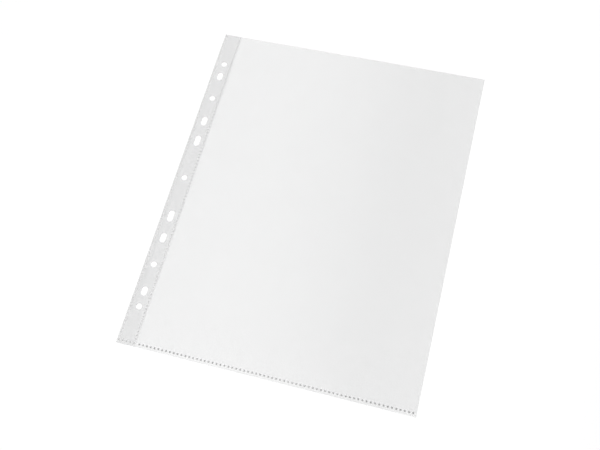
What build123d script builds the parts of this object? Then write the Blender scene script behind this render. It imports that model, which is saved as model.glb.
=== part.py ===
from build123d import *
import os

# A punched sheet protector, lying flat with its mouth towards +Y and its filing margin at -X.
# One film is folded along the right edge into a front and a rear leaf. Down the left edge both leaves
# cover a stiffer ribbon, and dotted heat welds hold the layers together. Sizes are in millimetres.
# The origin is the middle of the sheet, on the surface that it lies on.

# The whole sheet
SHEET_WIDTH = 239.0
SHEET_HEIGHT = 305.5
FILM_THICKNESS = 0.08

# The reinforcing ribbon between the film's left margins
RIBBON_WIDTH = 15.75
RIBBON_THICKNESS = 0.16
LOOSE_GAP = 0.24  # under the front film, which is loose between its welds

# The filing holes: one line of round holes and slots, the same above and below the middle of the sheet
HOLE_LINE = 8.2  # from the left edge
HOLE_DIAMETER = 5.0  # and the width of the slots
INNER_HOLE_RISE = 82.5
OUTER_HOLE_RISE = 120.0  # the outer pair of a four-ring binder, three steps of 80 apart
INNER_SLOT_RISE = 37.5
INNER_SLOT_LENGTH = 10.2
MIDDLE_SLOT_RISE = 58.0
MIDDLE_SLOT_LENGTH = 8.8
OUTER_SLOT_RISE = 106.5
OUTER_SLOT_LENGTH = 7.8

# The dotted heat welds
WELD_PITCH = 3.2
WELD_LENGTH = 1.5  # of one dot, along the seam
WELD_WIDTH = 1.6
WELD_DIMPLE = 0.02  # how far a dot is pressed in below the face of the film
MARGIN_WELD_INSET = 1.2  # from each long edge of the ribbon
SEAM_WELD_INSET = 2.8  # from the bottom edge
SEAM_HEIGHT = 4.5  # of the hem that the bottom weld fixes

# Room for the film to flex between the margin and the pocket, and around the leaf that lifts at the mouth
FLEX_GAP = 0.7
LEAF_GAP = 0.3

LEFT = -SHEET_WIDTH / 2
RIGHT = SHEET_WIDTH / 2
BOTTOM = -SHEET_HEIGHT / 2
TOP = SHEET_HEIGHT / 2
RIBBON_EDGE = LEFT + RIBBON_WIDTH
SEAM_TOP = BOTTOM + SEAM_HEIGHT

RIBBON_TOP = FILM_THICKNESS + RIBBON_THICKNESS
FRONT_LEVEL = RIBBON_TOP + LOOSE_GAP
STACK_HEIGHT = FRONT_LEVEL + FILM_THICKNESS
FOLD_RADIUS = STACK_HEIGHT / 2

POCKET_LEFT = RIBBON_EDGE + FLEX_GAP
POCKET_RIGHT = RIGHT - FOLD_RADIUS


def panel(left, right, bottom, top):
    """The flat outline of a rectangular piece, between its four edges."""
    return Pos((left + right) / 2, (bottom + top) / 2) * Rectangle(right - left, top - bottom)


def sheet(outline, level, thickness):
    """A flat piece with this outline, whose underside is at the level."""
    return Pos(0, 0, level) * extrude(outline, thickness)


def filing_holes():
    """The outlines of the punched holes: one in the middle and the rest in pairs above and below it."""
    line = LEFT + HOLE_LINE
    holes = [Pos(line, 0) * Circle(HOLE_DIAMETER / 2)]
    for side in (-1, 1):
        for rise in (INNER_HOLE_RISE, OUTER_HOLE_RISE):
            holes.append(Pos(line, side * rise) * Circle(HOLE_DIAMETER / 2))
        for rise, length in (
            (INNER_SLOT_RISE, INNER_SLOT_LENGTH),
            (MIDDLE_SLOT_RISE, MIDDLE_SLOT_LENGTH),
            (OUTER_SLOT_RISE, OUTER_SLOT_LENGTH),
        ):
            holes.append(Pos(line, side * rise) * SlotOverall(length, HOLE_DIAMETER, rotation=90))
    return holes


def dot_places(start, end):
    """The middles of the dots of a weld line, at their pitch, as many as fit between its two ends."""
    steps = int((end - start - WELD_LENGTH) / WELD_PITCH)
    first = (start + end - steps * WELD_PITCH) / 2
    return [first + step * WELD_PITCH for step in range(steps + 1)]


def upright_dots(x):
    """The outlines of the dots of a margin weld, from the top of the hem to the mouth."""
    return [Pos(x, y) * Rectangle(WELD_WIDTH, WELD_LENGTH) for y in dot_places(SEAM_TOP, TOP)]


def level_dots(start, end):
    """The outlines of the dots of the bottom weld, between two places along it."""
    y = BOTTOM + SEAM_WELD_INSET
    return [Pos(x, y) * Rectangle(WELD_LENGTH, WELD_WIDTH) for x in dot_places(start, end)]


def nuggets(dots, foot, face):
    """The fused dots, which stand on the layer below and fill the film up to a dimple in its face."""
    height = face - WELD_DIMPLE - foot
    return Compound(children=[solid for dot in dots for solid in sheet(dot, foot, height).solids()])


def side_fold():
    """The crease of the film along the right edge, pressed flat to a half-round edge."""
    start = (POCKET_RIGHT, 0)
    end = (POCKET_RIGHT, STACK_HEIGHT)
    edge = ThreePointArc(start, (RIGHT, FOLD_RADIUS), end)
    section = make_face([edge, Line(end, start)])
    return extrude(Plane.XZ.offset(-BOTTOM) * section, -SHEET_HEIGHT)


holes = filing_holes()
outer_dots = upright_dots(LEFT + MARGIN_WELD_INSET)
inner_dots = upright_dots(RIBBON_EDGE - MARGIN_WELD_INSET)
foot_dots = level_dots(LEFT, RIBBON_EDGE)
seam_dots = level_dots(POCKET_LEFT, POCKET_RIGHT)

punched_margin = panel(LEFT, RIBBON_EDGE, BOTTOM, TOP) - holes
welded_margin = punched_margin - outer_dots - inner_dots - foot_dots
welded_hem = panel(POCKET_LEFT, POCKET_RIGHT, BOTTOM, SEAM_TOP) - seam_dots
rear_outline = panel(POCKET_LEFT, POCKET_RIGHT, BOTTOM, TOP)
front_outline = panel(POCKET_LEFT, POCKET_RIGHT - LEAF_GAP, SEAM_TOP + LEAF_GAP, TOP)

parts = {
    "rear_margin_film": sheet(punched_margin, 0, FILM_THICKNESS),
    "reinforcing_ribbon": sheet(punched_margin, FILM_THICKNESS, RIBBON_THICKNESS),
    "front_margin_film": sheet(welded_margin, FRONT_LEVEL, FILM_THICKNESS),
    "outer_margin_welds": nuggets(outer_dots, RIBBON_TOP, STACK_HEIGHT),
    "inner_margin_welds": nuggets(inner_dots, RIBBON_TOP, STACK_HEIGHT),
    "margin_foot_welds": nuggets(foot_dots, RIBBON_TOP, STACK_HEIGHT),
    "rear_leaf": sheet(rear_outline, 0, FILM_THICKNESS),
    "side_fold": side_fold(),
    "bottom_hem_film": sheet(welded_hem, FILM_THICKNESS, FILM_THICKNESS),
    "bottom_seam_welds": nuggets(seam_dots, FILM_THICKNESS, 2 * FILM_THICKNESS),
    "front_leaf": sheet(front_outline, FRONT_LEVEL, FILM_THICKNESS),
}

os.makedirs("parts", exist_ok=True)
for name, solid in parts.items():
    export_step(solid, f"parts/{name}.step")
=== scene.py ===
# %% [markdown]
# # A punched sheet protector in Blender
#
# The object is a clear filing pocket: one film of polypropylene, folded along the right edge, with a
# stiffer ribbon in its left margin and dotted heat welds that hold the layers together. The CAD model
# already has every layer at its true size. Blender adds what the eye sees: soft film that bows a
# little, with strips across its flex line, pressed weld dots, hazy see-through plastic, and a white
# studio with two long lamps overhead.

# %% Load the frame
import math

import bpy
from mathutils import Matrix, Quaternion, Vector


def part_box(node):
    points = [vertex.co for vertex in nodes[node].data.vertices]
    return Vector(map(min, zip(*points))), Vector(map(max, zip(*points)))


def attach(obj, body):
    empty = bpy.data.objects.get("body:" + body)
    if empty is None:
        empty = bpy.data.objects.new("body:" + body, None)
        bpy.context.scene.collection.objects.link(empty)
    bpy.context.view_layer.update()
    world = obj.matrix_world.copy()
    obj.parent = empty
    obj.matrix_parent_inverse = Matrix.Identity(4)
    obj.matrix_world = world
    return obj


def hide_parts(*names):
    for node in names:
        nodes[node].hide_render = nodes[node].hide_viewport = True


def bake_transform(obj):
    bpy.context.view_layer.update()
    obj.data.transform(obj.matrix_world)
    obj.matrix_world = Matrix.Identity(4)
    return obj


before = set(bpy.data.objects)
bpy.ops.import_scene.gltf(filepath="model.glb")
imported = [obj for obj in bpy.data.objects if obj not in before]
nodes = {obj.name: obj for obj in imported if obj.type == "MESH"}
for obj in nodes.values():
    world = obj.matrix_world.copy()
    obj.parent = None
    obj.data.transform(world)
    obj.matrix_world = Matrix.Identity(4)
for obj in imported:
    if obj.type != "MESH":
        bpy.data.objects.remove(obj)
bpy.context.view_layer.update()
scene = bpy.context.scene
MM = 0.001  # in metres

# %% [markdown]
# ## The camera
#
# A camera can be placed by eye, but here the four corners of the sheet in the photograph fix it: a
# rectangle of known size can be seen in that shape from one place only. The lens sits a little off
# the middle of the picture, because the photograph was cropped, so the camera has a small sideways
# shift.

# %% Camera
CAMERA_PLACE = Vector((0.10019, -0.29813, 0.63458))
CAMERA_TARGET = Vector((-0.02857, -0.02641, 0.0))
CAMERA_ROLL = math.radians(-10.99)
SENSOR_WIDTH = 36.0
FOCAL_LENGTH = 50.84
CROP_SHIFT = 0.05195
NEAR_LIMIT = 10 * MM

camera_data = bpy.data.cameras.new("photo_camera")
camera_data.sensor_width = SENSOR_WIDTH
camera_data.lens = FOCAL_LENGTH
camera_data.shift_x = CROP_SHIFT
camera_data.clip_start = NEAR_LIMIT
camera = bpy.data.objects.new("photo_camera", camera_data)
camera.location = CAMERA_PLACE
camera.rotation_mode = "QUATERNION"
aim = (CAMERA_TARGET - CAMERA_PLACE).to_track_quat("-Z", "Y")
camera.rotation_quaternion = aim @ Quaternion((0, 0, 1), CAMERA_ROLL)
scene.collection.objects.link(camera)
scene.camera = camera
print("camera to sheet in mm:", round((CAMERA_TARGET - CAMERA_PLACE).length / MM))

# %% [markdown]
# ## Helpers for nodes and colours
#
# Colours are written as the hex values that a paint program shows. Blender's shaders work in linear
# light, so one function turns a hex value into linear numbers. A second one adds a node to a material
# or to a Geometry Nodes tree, gives it its settings and makes its links. Each node is then a line or
# two to read. A third starts a material with an empty tree.


# %% Colour and node helpers
def linear(hex_colour):
    """A hex colour as linear red, green, blue and alpha."""
    channels = [int(hex_colour[i:i + 2], 16) / 255 for i in (1, 3, 5)]
    return [c / 12.92 if c <= 0.04045 else ((c + 0.055) / 1.055) ** 2.4 for c in channels] + [1.0]


def add(tree, kind, inputs=None, **settings):
    """A new node in the tree. An input is a plain value, or another node's socket to link it to."""
    node = tree.nodes.new(kind)
    for name, value in settings.items():
        setattr(node, name, value)
    for name, value in (inputs or {}).items():
        if isinstance(value, bpy.types.NodeSocket):
            tree.links.new(value, node.inputs[name])
        else:
            node.inputs[name].default_value = value
    return node


def new_material(name):
    """A material with an empty node tree."""
    material = bpy.data.materials.new(name)
    material.use_nodes = True
    material.node_tree.nodes.clear()
    return material


print("half grey, #808080, is", round(linear("#808080")[0], 3), "in linear light")

# %% [markdown]
# ## Grained polypropylene film
#
# The film is cast polypropylene, about 0.08 mm thick, rolled over a grained cylinder while it is
# soft. The grain scatters a part of the light, so the film looks like a thin pale haze, and more
# layers look darker on white paper. A glass shader could draw clear plastic, but it bends light as a
# thick block does. A plain Alpha on one Principled shader gives just the haze: each surface covers a
# small share of what lies behind it. The grain itself is under 0.2 mm wide, too fine to show in the
# picture, so it is drawn about 1.2 mm wide. The film is pulled lengthwise off its roll, which leaves
# broad, faint bands of haze.

# %% Film material
POLYPROPYLENE_IOR = 1.49
FILM_ALPHA = 0.14
FILM_ROUGHNESS = 0.42
FILM_HAZE = linear("#E3E3E3")
FILM_BAND = linear("#E1E1E2")
GRAIN_WIDTH = 1.2 * MM
GRAIN_DEPTH = 0.02 * MM
GRAIN_STRENGTH = 0.15
BAND_WIDTH = 30 * MM
BAND_LENGTH = 1500 * MM

film = new_material("grained_polypropylene_film")
tree = film.node_tree
place = add(tree, "ShaderNodeTexCoord")
stretch = add(tree, "ShaderNodeMapping", {
    "Vector": place.outputs["Object"],
    "Scale": (1 / BAND_WIDTH, 1 / BAND_LENGTH, 1 / BAND_WIDTH),
})
bands = add(tree, "ShaderNodeTexNoise", {
    "Vector": stretch.outputs["Vector"], "Scale": 1.0, "Detail": 2.0,
})
haze = add(tree, "ShaderNodeMix", {
    "Factor": bands.outputs["Fac"], "A": FILM_HAZE, "B": FILM_BAND,
}, data_type="RGBA")
grain = add(tree, "ShaderNodeTexNoise", {
    "Vector": place.outputs["Object"], "Scale": 1 / GRAIN_WIDTH, "Detail": 1.0,
})
relief = add(tree, "ShaderNodeBump", {
    "Height": grain.outputs["Fac"], "Strength": GRAIN_STRENGTH, "Distance": GRAIN_DEPTH,
})
film_shader = add(tree, "ShaderNodeBsdfPrincipled", {
    "Base Color": haze.outputs["Result"], "Alpha": FILM_ALPHA, "Roughness": FILM_ROUGHNESS,
    "IOR": POLYPROPYLENE_IOR, "Normal": relief.outputs["Normal"],
})
add(tree, "ShaderNodeOutputMaterial", {"Surface": film_shader.outputs["BSDF"]})
past_two_films = (1 - FILM_ALPHA) ** 4  # each film has two faces
print("film: two layers cover", round(1 - past_two_films, 3))

# %% [markdown]
# ## The ribbon
#
# The ribbon in the margin is smooth polypropylene, twice as thick as the film, so it covers more. It
# has no grain, only faint clouds where the melt cooled unevenly. A volume could soak up light by the
# thickness, but the eye only needs the sum of the layers to come out right. So one more Principled
# shader with its own Alpha does for it.

# %% Ribbon material
RIBBON_ALPHA = 0.26
RIBBON_ROUGHNESS = 0.3
RIBBON_MILK = linear("#E4E4E4")
RIBBON_CLOUD = linear("#E0E0E1")
CLOUD_WIDTH = 9 * MM

ribbon = new_material("smooth_polypropylene_ribbon")
tree = ribbon.node_tree
place = add(tree, "ShaderNodeTexCoord")
cloud = add(tree, "ShaderNodeTexNoise", {
    "Vector": place.outputs["Object"], "Scale": 1 / CLOUD_WIDTH, "Detail": 2.0,
})
milk = add(tree, "ShaderNodeMix", {
    "Factor": cloud.outputs["Fac"], "A": RIBBON_MILK, "B": RIBBON_CLOUD,
}, data_type="RGBA")
ribbon_shader = add(tree, "ShaderNodeBsdfPrincipled", {
    "Base Color": milk.outputs["Result"], "Alpha": RIBBON_ALPHA, "Roughness": RIBBON_ROUGHNESS,
    "IOR": POLYPROPYLENE_IOR,
})
add(tree, "ShaderNodeOutputMaterial", {"Surface": ribbon_shader.outputs["BSDF"]})
past_ribbon = (1 - RIBBON_ALPHA) ** 2
print("ribbon with both films covers", round(1 - past_two_films * past_ribbon, 3))

# %% [markdown]
# ## The welds, with painted shade and a painted highlight
#
# A weld dot is film melted onto the layer below it under a hot wheel. The melt loses its grain, so a
# dot is glossier than the film round it. Its grey is painted shade, which stands in for the light
# that the dish and the fused spot bend away. Its rim is painted lighter, a painted highlight where
# the raised bead catches the light. On the thick ribbon the dots get a pale painted shade. The dots
# of the bottom seam get a darker painted shade all over, and where the seam crosses the foot of the
# ribbon they come between the two. One function makes all four finishes. The painted shade is deepest
# in the middle of a dot. An attribute, which the dots get when they are made, is 1 there and 0 at the
# rim. A texture could not find the middle of each dot so easily. A noise about as wide as a dot
# varies the painted shade from dot to dot.

# %% Weld materials
# Painted shade of the dots: the width of its noise, the share from the rim where it starts, and the
# least of it that a dot keeps.
DOT_NOISE_WIDTH = 1.8 * MM
SHADE_START = 0.2
WELD_ROUGHNESS = 0.2
SHADE_NOISE_LOW = 0.3
SHADE_NOISE_HIGH = 0.7
FAINTEST_SHADE = 0.6


def weld_material(name, rim, core, alpha):
    """Melted film with painted shade, greyest in the middle of each dot by an amount that wanders
    from dot to dot, and a painted highlight at the rim.
    """
    material = new_material(name)
    tree = material.node_tree
    place = add(tree, "ShaderNodeTexCoord")
    wander = add(tree, "ShaderNodeTexNoise", {
        "Vector": place.outputs["Object"], "Scale": 1 / DOT_NOISE_WIDTH, "Detail": 1.0,
    })
    shade_noise = add(tree, "ShaderNodeMapRange", {
        "Value": wander.outputs["Fac"], "From Min": SHADE_NOISE_LOW, "From Max": SHADE_NOISE_HIGH,
        "To Min": FAINTEST_SHADE,
    })
    dot_shade_mask = add(tree, "ShaderNodeAttribute", attribute_name="dot_shade_mask")
    core_share = add(tree, "ShaderNodeMapRange", {
        "Value": dot_shade_mask.outputs["Fac"], "From Min": SHADE_START,
    })
    # How deep the painted shade is: the dot's mask, which is 1 in the middle, times the noise.
    painted_shade_depth = add(tree, "ShaderNodeMath", {
        0: core_share.outputs["Result"], 1: shade_noise.outputs["Result"],
    }, operation="MULTIPLY")
    # Painted highlight at the rim, painted shade in the middle.
    grey = add(tree, "ShaderNodeMix", {
        "Factor": painted_shade_depth.outputs["Value"], "A": linear(rim), "B": linear(core),
    }, data_type="RGBA")
    shader = add(tree, "ShaderNodeBsdfPrincipled", {
        "Base Color": grey.outputs["Result"], "Alpha": alpha, "Roughness": WELD_ROUGHNESS,
        "IOR": POLYPROPYLENE_IOR,
    })
    add(tree, "ShaderNodeOutputMaterial", {"Surface": shader.outputs["BSDF"]})
    return material


# The grey in the middle of each dot is painted shade, and its lighter rim is a painted highlight. The
# bottom seam's dots get a darker painted shade all over.
edge_weld = weld_material(
    "outer_dots_painted_highlight_and_shade", rim="#FFFFFF", core="#CCCCCC", alpha=0.46
)
margin_weld = weld_material("pressed_polypropylene_dots", rim="#FFFFFF", core="#ACACAC", alpha=0.5)
foot_weld = weld_material("crossing_polypropylene_dots", rim="#F4F4F4", core="#A4A4A4", alpha=0.52)
seam_weld = weld_material("seam_dots_painted_shade", rim="#C2C2C2", core="#B0B0B0", alpha=0.8)
print("weld finishes:", [m.name for m in (edge_weld, margin_weld, foot_weld, seam_weld)])

# %% [markdown]
# ## The flat layers
#
# The margin's films are welded to its ribbon and the hem is welded down, so these four layers are
# flat. They have punched holes, and a window where a weld dot sits in them. They could be cut again
# in Blender, but their CAD solids already have just that shape. They stay, and only get their finish.

# %% Finish the flat layers
FLAT_FINISHES = {
    "rear_margin_film": film,
    "front_margin_film": film,
    "bottom_hem_film": film,
    "reinforcing_ribbon": ribbon,
}

for name, material in FLAT_FINISHES.items():
    mesh = nodes[name].data
    mesh.materials.clear()
    mesh.materials.append(material)
print("CAD layers that stay:", list(FLAT_FINISHES))

# %% [markdown]
# ## Helpers for node trees
#
# Geometry Nodes build a mesh from a tree of nodes. A tree could be drawn by hand in the node editor,
# but written in the script it comes out the same each time. Three helpers are enough. The first opens
# a tree with its named inputs. The second ends it: instances become a plain mesh, because an export
# drops them, and the mesh gets its material. The third hangs the tree on an empty object, sets each
# input by the identifier of its socket, and keeps the evaluated result as a plain mesh with no
# modifier left.


# %% Open a tree, close it, and keep what it makes
def open_tree(name, inputs):
    """A Geometry Nodes tree with these named inputs, and the sockets that hand them in."""
    tree = bpy.data.node_groups.new(name, "GeometryNodeTree")
    for label, kind in inputs.items():
        tree.interface.new_socket(label, in_out="INPUT", socket_type="NodeSocket" + kind)
    tree.interface.new_socket("Geometry", in_out="OUTPUT", socket_type="NodeSocketGeometry")
    return tree, add(tree, "NodeGroupInput").outputs


def close_tree(tree, geometry, material):
    """The end of a tree: instances become a plain mesh, which gets its material and goes out."""
    plain = add(tree, "GeometryNodeRealizeInstances", {"Geometry": geometry})
    finished = add(tree, "GeometryNodeSetMaterial", {
        "Geometry": plain.outputs["Geometry"], "Material": material,
    })
    add(tree, "NodeGroupOutput", {"Geometry": finished.outputs["Geometry"]})
    print(tree.name, "has", len(tree.nodes), "nodes")


def make_piece(name, tree, values):
    """Run a tree on the values that it has inputs for, and keep the result as a plain mesh."""
    maker = bpy.data.objects.new(name + "_maker", bpy.data.meshes.new(name + "_maker"))
    scene.collection.objects.link(maker)
    modifier = maker.modifiers.new(tree.name, "NODES")
    modifier.node_group = tree
    for item in tree.interface.items_tree:
        if item.name in values:
            modifier[item.identifier] = values[item.name]
    evaluated = maker.evaluated_get(bpy.context.evaluated_depsgraph_get())
    mesh = bpy.data.meshes.new_from_object(evaluated)
    mesh.name = name
    bpy.data.objects.remove(maker)
    piece = bpy.data.objects.new(name, mesh)
    scene.collection.objects.link(piece)
    print(name, "has", len(mesh.polygons), "faces")
    return piece


# %% [markdown]
# ## Soft film by rule
#
# The margin and the hem are held flat by their welds, and the rest of the film is soft. In front it
# leaves the hem, rises to its loose height within a finger's width and lies there with a very slight
# crown, because a folded film never presses quite flat. The rear film lies on the table with a
# fainter crown. A cloth simulation could find such a form, but these rises are less than a millimetre
# high, and a rule gives them exactly. So one Geometry Nodes tree makes every sheet: a closed block of
# film, divided into a grid, goes to its place, and each point is lifted by the rule. The tree's named
# inputs are the edges and heights of the film.

# %% The film tree: a block in its place
BOTH_FACES = 2  # layers of points in a block, one on top and one below
HALF_WAY = (0.5, 0.5, 0.5)  # along each side

film_tree, given = open_tree("soft_film_sheet", {
    "Low corner": "Vector", "High corner": "Vector", "Columns": "Int", "Rows": "Int",
    "Margin edge": "Float", "Pocket edge": "Float", "Fold edge": "Float",
    "Hem edge": "Float", "Rise end": "Float", "Crown end": "Float", "Mouth edge": "Float",
    "Hem level": "Float", "Loose level": "Float", "Crown": "Float", "Material": "Material",
})
size = add(film_tree, "ShaderNodeVectorMath", {
    0: given["High corner"], 1: given["Low corner"],
}, operation="SUBTRACT")
centre = add(film_tree, "ShaderNodeVectorMath", {
    0: size.outputs["Vector"], 1: HALF_WAY, 2: given["Low corner"],
}, operation="MULTIPLY_ADD")
block = add(film_tree, "GeometryNodeMeshCube", {
    "Size": size.outputs["Vector"], "Vertices X": given["Columns"], "Vertices Y": given["Rows"],
    "Vertices Z": BOTH_FACES,
})
placed = add(film_tree, "GeometryNodeTransform", {
    "Geometry": block.outputs["Mesh"], "Translation": centre.outputs["Vector"],
})
print("to place the block:", len(film_tree.nodes), "nodes")

# %% [markdown]
# ### The level of the film
#
# The front film starts low on the hem, where the weld holds it down, and rises to its loose height. A
# Map Range node turns a place along the sheet into a height. Its smooth steps begin and end level, as
# film does where it leaves a weld, and a straight ramp would leave two creases. Across the flex line
# the level goes over from the margin's, which is the loose height all along, to the pocket's.

# %% The film tree: the level of the film
spot = add(film_tree, "GeometryNodeInputPosition")
at = add(film_tree, "ShaderNodeSeparateXYZ", {"Vector": spot.outputs["Position"]})
rise = add(film_tree, "ShaderNodeMapRange", {
    "Value": at.outputs["Y"], "From Min": given["Hem edge"], "From Max": given["Rise end"],
    "To Min": given["Hem level"], "To Max": given["Loose level"],
}, interpolation_type="SMOOTHSTEP")
flex = add(film_tree, "ShaderNodeMapRange", {
    "Value": at.outputs["X"], "From Min": given["Margin edge"], "From Max": given["Pocket edge"],
})
level = add(film_tree, "ShaderNodeMix", {
    "Factor": flex.outputs["Result"], "A": given["Loose level"], "B": rise.outputs["Result"],
})
print("with the level:", len(film_tree.nodes), "nodes")

# %% [markdown]
# ### The crown of the film
#
# An empty pocket keeps a little air, so its film stands highest along the middle, in slow ripples. A
# noise could lift it, but the two long edges have to stay where the weld and the fold hold them. The
# square of a sine is 0 at both edges, with no slope, and 1 in the middle. A cosine ripples it, and
# its ripples drift sideways on the way up to the mouth.

# %% The film tree: a rippled bell
RIPPLES = 6.0
RIPPLE_DRIFT = 2.0
LEAST_RIPPLE = 0.5

across = add(film_tree, "ShaderNodeMapRange", {
    "Value": at.outputs["X"], "From Min": given["Pocket edge"], "From Max": given["Fold edge"],
    "To Max": math.pi,
})
bow = add(film_tree, "ShaderNodeMath", {0: across.outputs["Result"]}, operation="SINE")
bell = add(film_tree, "ShaderNodeMath", {
    0: bow.outputs["Value"], 1: bow.outputs["Value"],
}, operation="MULTIPLY")
drift = add(film_tree, "ShaderNodeMapRange", {
    "Value": at.outputs["Y"], "From Min": given["Hem edge"], "From Max": given["Mouth edge"],
    "To Max": RIPPLE_DRIFT,
})
phase = add(film_tree, "ShaderNodeMath", {
    0: across.outputs["Result"], 1: RIPPLES, 2: drift.outputs["Result"],
}, operation="MULTIPLY_ADD")
wave = add(film_tree, "ShaderNodeMath", {0: phase.outputs["Value"]}, operation="COSINE")
ripple = add(film_tree, "ShaderNodeMapRange", {
    "Value": wave.outputs["Value"], "From Min": -1.0, "To Min": LEAST_RIPPLE,
})
rippled_bell = add(film_tree, "ShaderNodeMath", {
    0: bell.outputs["Value"], 1: ripple.outputs["Result"],
}, operation="MULTIPLY")
print("with the crown:", len(film_tree.nodes), "nodes")

# %% [markdown]
# ### The lift of the film
#
# The weld holds the film flat at the hem, so the crown swells up slowly above it. A Displace modifier
# could lift the points by a texture. A Set Position node takes the rule itself: each point goes up by
# its level and by its share of the crown.

# %% The film tree: lift the block
swell = add(film_tree, "ShaderNodeMapRange", {
    "Value": at.outputs["Y"], "From Min": given["Hem edge"], "From Max": given["Crown end"],
    "To Max": given["Crown"],
}, interpolation_type="SMOOTHSTEP")
height = add(film_tree, "ShaderNodeMath", {
    0: rippled_bell.outputs["Value"], 1: swell.outputs["Result"], 2: level.outputs["Result"],
}, operation="MULTIPLY_ADD")
lift = add(film_tree, "ShaderNodeCombineXYZ", {"Z": height.outputs["Value"]})
lifted = add(film_tree, "GeometryNodeSetPosition", {
    "Geometry": placed.outputs["Geometry"], "Offset": lift.outputs["Vector"],
})
close_tree(film_tree, lifted.outputs["Geometry"], given["Material"])

# %% [markdown]
# ### The edges and heights of the film
#
# The sheets have to meet the CAD layers without a step. Their edges and heights could be typed in,
# but they are read from the boxes of the CAD nodes, so they fit by themselves. Only the soft forms,
# which the CAD model leaves out, get values of their own: how soon the film rises, and how high it
# crowns.

# %% The film's edges and heights
RISE_LENGTH = 12 * MM
FRONT_CROWN = 0.5 * MM
REAR_CROWN = 0.12 * MM
CROWN_END_SHARE = 0.4  # of the front leaf's length, where the crown is full
ROW_STEP = 1.5 * MM

hem_low, hem_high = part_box("bottom_hem_film")
leaf_low, leaf_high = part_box("front_leaf")
fold_low, fold_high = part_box("side_fold")
margin_low, margin_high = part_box("front_margin_film")
rear_low, rear_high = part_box("rear_leaf")
film_thickness = leaf_high.z - leaf_low.z
leaf_length = leaf_high.y - hem_high.y
film_edges = {
    "Margin edge": margin_high.x,
    "Pocket edge": hem_low.x,
    "Fold edge": fold_low.x,
    "Hem edge": hem_high.y,
    "Rise end": hem_high.y + RISE_LENGTH,
    "Crown end": hem_high.y + CROWN_END_SHARE * leaf_length,
    "Mouth edge": leaf_high.y,
}
front_heights = {"Hem level": hem_low.z, "Loose level": leaf_low.z, "Crown": FRONT_CROWN}
rear_heights = {"Hem level": rear_low.z, "Loose level": rear_low.z, "Crown": REAR_CROWN}


def film_sheet(name, left, right, bottom, steps, heights):
    """A sheet of film between two upright edges, from its lower edge to the mouth."""
    piece = make_piece(name, film_tree, {
        "Low corner": (left, bottom, 0.0),
        "High corner": (right, leaf_high.y, film_thickness),
        "Columns": steps + 1,
        "Rows": round((leaf_high.y - bottom) / ROW_STEP) + 1,
        "Material": film,
        **film_edges,
        **heights,
    })
    return piece


print("front film rises from", round(hem_low.z / MM, 2), "to", round(leaf_low.z / MM, 2), "mm")

# %% [markdown]
# ## The two leaves of the pocket
#
# When the mouth opens, the middle of the front leaf bows up while its two long edges stay where they
# are. The leaf could tilt as one piece, but that would tear it from the margin and the fold. So the
# front leaf is made as two halves, one on each side of the middle. The rear leaf is one sheet, which
# rides on the pocket.

# %% Front and rear leaves
HALF_LEAF_STEPS = 28

middle = (hem_low.x + fold_low.x) / 2
left_half = film_sheet(
    "front_leaf_left", hem_low.x, middle, hem_high.y, HALF_LEAF_STEPS, front_heights
)
right_half = film_sheet(
    "front_leaf_right", middle, fold_low.x, hem_high.y, HALF_LEAF_STEPS, front_heights
)
rear_film = film_sheet(
    "rear_leaf_film", rear_low.x, rear_high.x, rear_low.y, 2 * HALF_LEAF_STEPS, rear_heights
)
for half in (left_half, right_half):
    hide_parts("front_leaf")
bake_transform(left_half)
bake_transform(right_half)
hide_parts("rear_leaf")
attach(rear_film, "pocket")

# %% [markdown]
# ## The flex lines
#
# The film runs on without a cut from the margin into the pocket, and bends there when a page is
# turned. The CAD model has a narrow gap for that bend. So two more sheets from the film tree bridge
# the gap, one in front and one behind.

# %% Flex strips
FLEX_STEPS = 8

for name, heights in (("front_flex_line", front_heights), ("rear_flex_line", rear_heights)):
    strip = film_sheet(name, margin_high.x, hem_low.x, fold_low.y, FLEX_STEPS, heights)
    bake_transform(strip)
print("flex lines are", round((hem_low.x - margin_high.x) / MM, 2), "mm wide")

# %% [markdown]
# ## The fold along the right edge
#
# The film turns back on itself along the right edge, in a crease that is round and hollow. Its
# section is half an ellipse of film, as high as the two leaves lie apart, so it nearly closes up at
# the hem, where the crease is pressed thinner than the film. A curve with a bevel could sweep a
# crease, but only with one section all along. So a second tree bends a block of film by rule: the
# block's length runs along the edge, its width becomes the half turn from the front leaf to the rear
# one, and its height becomes the thickness.

# %% The crease tree: place along the edge, and turn round it
BLOCK_SIZE = (1.0, 1.0, 1.0)
BLOCK_END = 0.5  # from the middle of the block

crease_tree, given = open_tree("film_crease", {
    "Points round": "Int", "Rows": "Int", "Lower end": "Float", "Upper end": "Float",
    "Fold edge": "Float", "Reach": "Float", "Hem edge": "Float", "Rise end": "Float",
    "Hem level": "Float", "Loose level": "Float",
    "Film thickness": "Float", "Pressed share": "Float", "Material": "Material",
})
block = add(crease_tree, "GeometryNodeMeshCube", {
    "Size": BLOCK_SIZE, "Vertices X": given["Points round"], "Vertices Y": given["Rows"],
    "Vertices Z": BOTH_FACES,
})
spot = add(crease_tree, "GeometryNodeInputPosition")
at = add(crease_tree, "ShaderNodeSeparateXYZ", {"Vector": spot.outputs["Position"]})
turn = add(crease_tree, "ShaderNodeMath", {0: at.outputs["X"], 1: -math.pi}, operation="MULTIPLY")
turn_cos = add(crease_tree, "ShaderNodeMath", {0: turn.outputs["Value"]}, operation="COSINE")
turn_sin = add(crease_tree, "ShaderNodeMath", {0: turn.outputs["Value"]}, operation="SINE")
along = add(crease_tree, "ShaderNodeMapRange", {
    "Value": at.outputs["Y"], "From Min": -BLOCK_END, "From Max": BLOCK_END,
    "To Min": given["Lower end"], "To Max": given["Upper end"],
})
print("to turn the block:", len(crease_tree.nodes), "nodes")

# %% [markdown]
# ### The wall of the crease
#
# At each place along the edge the crease is as high as the level of the film there, and its thickness
# on top. The wall could be as thick as the film all along, but at the hem its two sides would meet.
# So where the crease is pressed, the wall is a share of half its height.

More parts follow.
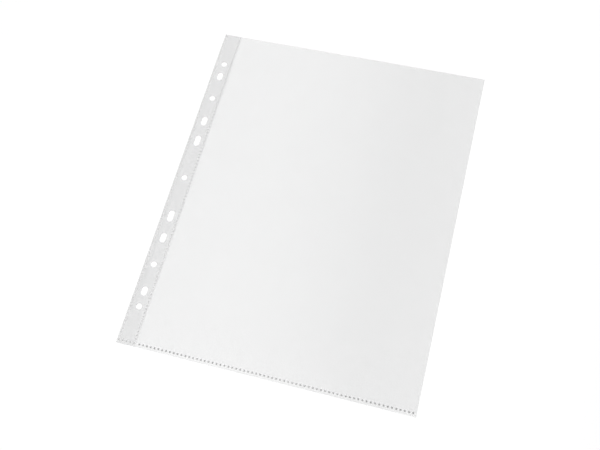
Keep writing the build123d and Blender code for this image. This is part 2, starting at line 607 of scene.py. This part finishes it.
# %% The crease tree: height and wall
rise = add(crease_tree, "ShaderNodeMapRange", {
    "Value": along.outputs["Result"], "From Min": given["Hem edge"], "From Max": given["Rise end"],
    "To Min": given["Hem level"], "To Max": given["Loose level"],
}, interpolation_type="SMOOTHSTEP")
outer_height = add(crease_tree, "ShaderNodeMath", {
    0: rise.outputs["Result"], 1: given["Film thickness"],
}, operation="ADD")
half_height = add(crease_tree, "ShaderNodeMath", {
    0: outer_height.outputs["Value"], 1: 0.5,
}, operation="MULTIPLY")
pressed = add(crease_tree, "ShaderNodeMath", {
    0: half_height.outputs["Value"], 1: given["Pressed share"],
}, operation="MULTIPLY")
wall = add(crease_tree, "ShaderNodeMath", {
    0: given["Film thickness"], 1: pressed.outputs["Value"],
}, operation="MINIMUM")
print("with the wall:", len(crease_tree.nodes), "nodes")

# %% [markdown]
# ### The bend
#
# The upper face of the block goes to the outside of the half ellipse, and the lower face stays inside
# it by the wall. A Simple Deform modifier could bend the block, but only into a part of a circle. The
# cosine and the sine of the turn, each times its own half axis, follow the ellipse.

# %% The crease tree: bend the block
inset = add(crease_tree, "ShaderNodeMapRange", {
    "Value": at.outputs["Z"], "From Min": -BLOCK_END, "From Max": BLOCK_END,
    "To Min": wall.outputs["Value"], "To Max": 0.0,
})
half_width = add(crease_tree, "ShaderNodeMath", {
    0: given["Reach"], 1: inset.outputs["Result"],
}, operation="SUBTRACT")
half_rise = add(crease_tree, "ShaderNodeMath", {
    0: half_height.outputs["Value"], 1: inset.outputs["Result"],
}, operation="SUBTRACT")
bent_x = add(crease_tree, "ShaderNodeMath", {
    0: half_width.outputs["Value"], 1: turn_cos.outputs["Value"], 2: given["Fold edge"],
}, operation="MULTIPLY_ADD")
bent_z = add(crease_tree, "ShaderNodeMath", {
    0: half_rise.outputs["Value"], 1: turn_sin.outputs["Value"], 2: half_height.outputs["Value"],
}, operation="MULTIPLY_ADD")
bent_place = add(crease_tree, "ShaderNodeCombineXYZ", {
    "X": bent_x.outputs["Value"], "Y": along.outputs["Result"], "Z": bent_z.outputs["Value"],
})
bent = add(crease_tree, "GeometryNodeSetPosition", {
    "Geometry": block.outputs["Mesh"], "Position": bent_place.outputs["Vector"],
})
close_tree(crease_tree, bent.outputs["Geometry"], given["Material"])

# %% [markdown]
# ### The crease in its place
#
# The crease joins the two leaves, from the bottom of the sheet to its mouth. Its ends and its reach
# could be typed in, but they come from the box of the plain fold that it replaces. Its levels are
# those of the front film, so it rises from the hem as the front leaf does.

# %% Side fold
FOLD_STEPS = 10
PRESSED_SHARE = 0.8

folded_edge = make_piece("folded_edge", crease_tree, {
    "Points round": FOLD_STEPS + 1,
    "Rows": round((fold_high.y - fold_low.y) / ROW_STEP) + 1,
    "Lower end": fold_low.y,
    "Upper end": fold_high.y,
    "Reach": fold_high.x - fold_low.x,
    "Film thickness": film_thickness,
    "Pressed share": PRESSED_SHARE,
    "Material": film,
    **film_edges,
    **front_heights,
})
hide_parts("side_fold")
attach(folded_edge, "pocket")

# %% [markdown]
# ## The weld dots
#
# A hot toothed wheel presses the welds, so every dot is the same and they keep one pitch. An Array
# modifier could repeat a finished dot. Geometry Nodes do that and shape the dot too: on each point of
# a line stands a small block with a grid on top. Its corners are drawn in, its middle is pressed
# down, and its rim stands up a little as the squeezed-out melt does.

# %% The dot tree: a line of points and a block
DOT_GRID = 5

dot_tree, given = open_tree("weld_dot_line", {
    "Count": "Int", "First": "Vector", "Step": "Vector", "Dot size": "Vector",
    "Corner rounding": "Float", "Dish depth": "Float", "Material": "Material",
})
line = add(dot_tree, "GeometryNodeMeshLine", {
    "Count": given["Count"], "Start Location": given["First"], "Offset": given["Step"],
}, mode="OFFSET")
block = add(dot_tree, "GeometryNodeMeshCube", {
    "Size": given["Dot size"], "Vertices X": DOT_GRID, "Vertices Y": DOT_GRID,
    "Vertices Z": BOTH_FACES,
})
spot = add(dot_tree, "GeometryNodeInputPosition")
half_size = add(dot_tree, "ShaderNodeVectorMath", {
    0: given["Dot size"], "Scale": 0.5,
}, operation="SCALE")
share = add(dot_tree, "ShaderNodeVectorMath", {
    0: spot.outputs["Position"], 1: half_size.outputs["Vector"],
}, operation="DIVIDE")
square = add(dot_tree, "ShaderNodeVectorMath", {
    0: share.outputs["Vector"], 1: share.outputs["Vector"],
}, operation="MULTIPLY")
from_middle = add(dot_tree, "ShaderNodeSeparateXYZ", {"Vector": square.outputs["Vector"]})
print("a dot has", DOT_GRID, "by", DOT_GRID, "points on top")

# %% [markdown]
# ### Round corners
#
# A pressed dot is no sharp block. A Bevel modifier could round its corners, but with many more faces,
# and there are over 200 dots. So the further a point is from the middle one way, the more it is drawn
# in the other way.

# %% The dot tree: draw the corners in
crosswise = add(dot_tree, "ShaderNodeCombineXYZ", {
    "X": from_middle.outputs["Y"], "Y": from_middle.outputs["X"],
})
pull = add(dot_tree, "ShaderNodeVectorMath", {
    0: spot.outputs["Position"], 1: crosswise.outputs["Vector"],
}, operation="MULTIPLY")
drawn_in = add(dot_tree, "ShaderNodeVectorMath", {
    0: pull.outputs["Vector"], "Scale": given["Corner rounding"],
}, operation="SCALE")
print("with round corners:", len(dot_tree.nodes), "nodes")

# %% [markdown]
# ### The dish
#
# The hot tooth sinks into the middle of a dot, and the melt that it squeezes out stands up at the
# rim. A bump in the material could hint at that, but an exported mesh would lose it. So the top of
# the block itself sinks in the middle and rises at the rim.

# %% The dot tree: press the dish
DISH_EDGE = 0.5  # square of the share of the way out where the dish turns into the rim

outward = add(dot_tree, "ShaderNodeMath", {
    0: from_middle.outputs["X"], 1: from_middle.outputs["Y"],
}, operation="MAXIMUM")
slope = add(dot_tree, "ShaderNodeMath", {
    0: outward.outputs["Value"], 1: DISH_EDGE,
}, operation="SUBTRACT")
dish = add(dot_tree, "ShaderNodeMath", {
    0: slope.outputs["Value"], 1: given["Dish depth"],
}, operation="MULTIPLY")
sides = add(dot_tree, "ShaderNodeSeparateXYZ", {"Vector": share.outputs["Vector"]})
on_top = add(dot_tree, "ShaderNodeMath", {0: sides.outputs["Z"], 1: 0.0}, operation="GREATER_THAN")
top_dish = add(dot_tree, "ShaderNodeMath", {
    0: dish.outputs["Value"], 1: on_top.outputs["Value"],
}, operation="MULTIPLY")
raised = add(dot_tree, "ShaderNodeCombineXYZ", {"Z": top_dish.outputs["Value"]})
press = add(dot_tree, "ShaderNodeVectorMath", {
    0: raised.outputs["Vector"], 1: drawn_in.outputs["Vector"],
}, operation="SUBTRACT")
print("with the dish:", len(dot_tree.nodes), "nodes")

# %% [markdown]
# ### The mask of the painted shade, and the line of dots
#
# The material has to know how near a point is to the middle of its dot, where the painted shade is
# deepest. It could work that out from the pitch of the dots, but the tree knows it already and stores
# it as an attribute. The finished dot then goes to each point of the line.

# %% The dot tree: store the melt and repeat the dot
# 1 in the middle of a dot and 0 at its edge: the mask of the painted shade.
dot_shade_mask_value = add(dot_tree, "ShaderNodeMath", {
    0: 1.0, 1: outward.outputs["Value"],
}, operation="SUBTRACT")
with_shade_mask = add(dot_tree, "GeometryNodeStoreNamedAttribute", {
    "Geometry": block.outputs["Mesh"], "Name": "dot_shade_mask", "Value": dot_shade_mask_value.outputs["Value"],
}, data_type="FLOAT", domain="POINT")
shaped = add(dot_tree, "GeometryNodeSetPosition", {
    "Geometry": with_shade_mask.outputs["Geometry"], "Offset": press.outputs["Vector"],
})
repeated = add(dot_tree, "GeometryNodeInstanceOnPoints", {
    "Points": line.outputs["Mesh"], "Instance": shaped.outputs["Geometry"],
})
close_tree(dot_tree, repeated.outputs["Instances"], given["Material"])

# %% [markdown]
# ### Four lines of dots
#
# Two lines run up the long edges of the ribbon, one crosses its foot, and one closes the bottom of
# the pocket. The dots could be placed by hand, but the CAD model has plain dots in the same places.
# So each line reads its start, its length and its width from the box of the node that it replaces,
# and its dots sit in the windows of the film.

# %% Lay the four weld lines
WELD_PITCH = 3.2 * MM
WELD_LENGTH = 1.5 * MM
CORNER_ROUNDING = 0.12
DISH_DEPTH = 0.04 * MM
UPRIGHT = Vector((0, 1, 0))
LEVEL = Vector((1, 0, 0))


def weld_line(node, body, way, material):
    """A line of pressed dots in place of the CAD node's plain ones."""
    low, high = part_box(node)
    dot = Vector([WELD_LENGTH if way[i] else high[i] - low[i] for i in range(3)])
    piece = make_piece(node.replace("_welds", "_dots"), dot_tree, {
        "Count": round(((high - low).dot(way) - WELD_LENGTH) / WELD_PITCH) + 1,
        "First": low + dot / 2,
        "Step": way * WELD_PITCH,
        "Dot size": dot,
        "Corner rounding": CORNER_ROUNDING,
        "Dish depth": DISH_DEPTH,
        "Material": material,
    })
    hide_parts(node)
    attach(piece, body)


weld_line("outer_margin_welds", "filing_margin", UPRIGHT, edge_weld)
weld_line("inner_margin_welds", "filing_margin", UPRIGHT, margin_weld)
weld_line("margin_foot_welds", "filing_margin", LEVEL, foot_weld)
weld_line("bottom_seam_welds", "pocket", LEVEL, seam_weld)

# %% [markdown]
# ## Sheets of film
#
# The leaves and the margin's films are sheets that were cut flat.

# %% [markdown]
# ## White floor
#
# The photograph has a pure white ground. A white floor could be lit until it is that white, but so
# much light would wash out the film. So the floor is two things. For light it is an ordinary white
# surface, and the film gets light from below. To the camera it is clear and shows the white studio
# behind it, with a thin share of plain paint that takes the film's faint shadow. A pocket that hangs
# down from the margin stays in view that way.


# %% Floor material
def seen_rays(tree):
    """1 for rays that the camera sees, straight on or in a mirror or glass, and 0 for others."""
    ray = add(tree, "ShaderNodeLightPath").outputs
    seen = ray["Is Camera Ray"]
    for other in ("Is Glossy Ray", "Is Transmission Ray"):
        either = add(tree, "ShaderNodeMath", {0: seen, 1: ray[other]}, operation="MAXIMUM")
        seen = either.outputs["Value"]
    return seen


floor_material = new_material("white_studio_floor")
tree = floor_material.node_tree
paint = add(tree, "ShaderNodeBsdfDiffuse", {"Color": linear("#F6F6F6")})
thin_paint = add(tree, "ShaderNodeBsdfDiffuse", {"Color": linear("#545454")})
clear = add(tree, "ShaderNodeBsdfTransparent", {"Color": linear("#FAFAFA")})
view = add(tree, "ShaderNodeAddShader", {0: clear.outputs["BSDF"], 1: thin_paint.outputs["BSDF"]})
both = add(tree, "ShaderNodeMixShader", {
    0: seen_rays(tree), 1: paint.outputs["BSDF"], 2: view.outputs["Shader"],
})
add(tree, "ShaderNodeOutputMaterial", {"Surface": both.outputs["Shader"]})
print("floor material has", len(tree.nodes), "nodes")

# %% [markdown]
# ### The floor in its place
#
# The sheet lies on the table. The floor could be level with its underside, but two faces in one place
# flicker in a render. So it lies a hair below, and is wide enough for every view.

# %% Floor
FLOOR_DROP = 0.3 * MM
FLOOR_HALF = 4.0

floor_mesh = bpy.data.meshes.new("floor")
corners = [(-1, -1), (1, -1), (1, 1), (-1, 1)]
spread = [(FLOOR_HALF * x, FLOOR_HALF * y, -FLOOR_DROP) for x, y in corners]
floor_mesh.from_pydata(spread, [], [(0, 1, 2, 3)])
floor_mesh.materials.append(floor_material)
floor = bpy.data.objects.new("floor", floor_mesh)
scene.collection.objects.link(floor)
print("floor:", 2 * FLOOR_HALF, "m wide,", round(FLOOR_DROP / MM, 1), "mm below the sheet")

# %% [markdown]
# ## White studio
#
# The world is a white studio all round. A picture of a room could light the scene, but a plain colour
# does for a white one. To the camera, and in mirrors and glass, it is pure white. For light it is a
# soft dome of less than half that, which fills the shadows and leaves room for the lamps.

# %% World
DOME_STRENGTH = 0.45

world = bpy.data.worlds.new("white_studio")
scene.world = world
world.use_nodes = True
tree = world.node_tree
tree.nodes.clear()
dome = add(tree, "ShaderNodeBackground", {"Color": linear("#FFFFFF"), "Strength": DOME_STRENGTH})
white = add(tree, "ShaderNodeBackground", {"Color": linear("#FFFFFF"), "Strength": 1.0})
sky = add(tree, "ShaderNodeMixShader", {
    0: seen_rays(tree), 1: dome.outputs["Background"], 2: white.outputs["Background"],
})
add(tree, "ShaderNodeOutputWorld", {"Surface": sky.outputs["Shader"]})
print("world: white to the camera, and", DOME_STRENGTH, "of white to the object")

# %% [markdown]
# ## Long lamps
#
# In the photograph the film is brightest at its left and fades towards the right, in the same way
# from top to bottom. A small lamp would leave a round pool of light. So a long soft lamp hangs over
# the left half of the sheet, with a grid in front of it that keeps its light narrow. A weak one lifts
# the folded edge again.

# %% Lamps
LAMP_HEIGHT = 1.3
LAMP_LENGTH = 1.0


def long_lamp(name, x, watts, width, reach):
    """A soft lamp over the sheet, long in Y, whose light fades out at the reach to either side."""
    data = bpy.data.lights.new(name, "AREA")
    data.shape = "RECTANGLE"
    data.size = width
    data.size_y = LAMP_LENGTH
    data.energy = watts
    data.spread = 2 * math.atan(reach / LAMP_HEIGHT)
    lamp = bpy.data.objects.new(name, data)
    lamp.location = (x, 0, LAMP_HEIGHT)
    lamp.visible_camera = False
    scene.collection.objects.link(lamp)
    print(name, "spreads its light over", round(math.degrees(data.spread)), "degrees")


long_lamp("key_lamp", x=-0.075, watts=0.58, width=0.1, reach=0.33)
long_lamp("fill_lamp", x=0.165, watts=0.075, width=0.02, reach=0.1)

# %% [markdown]
# ## Finish
#
# Blender's default view bends the tones towards those of a cinema camera. The Standard view shows
# each colour as it is written. Light passes up to a dozen clear surfaces here, so the limit on those
# is raised.

# %% Finish
CLEAR_LAYERS = 24

scene.view_settings.view_transform = "Standard"
scene.cycles.transparent_max_bounces = CLEAR_LAYERS
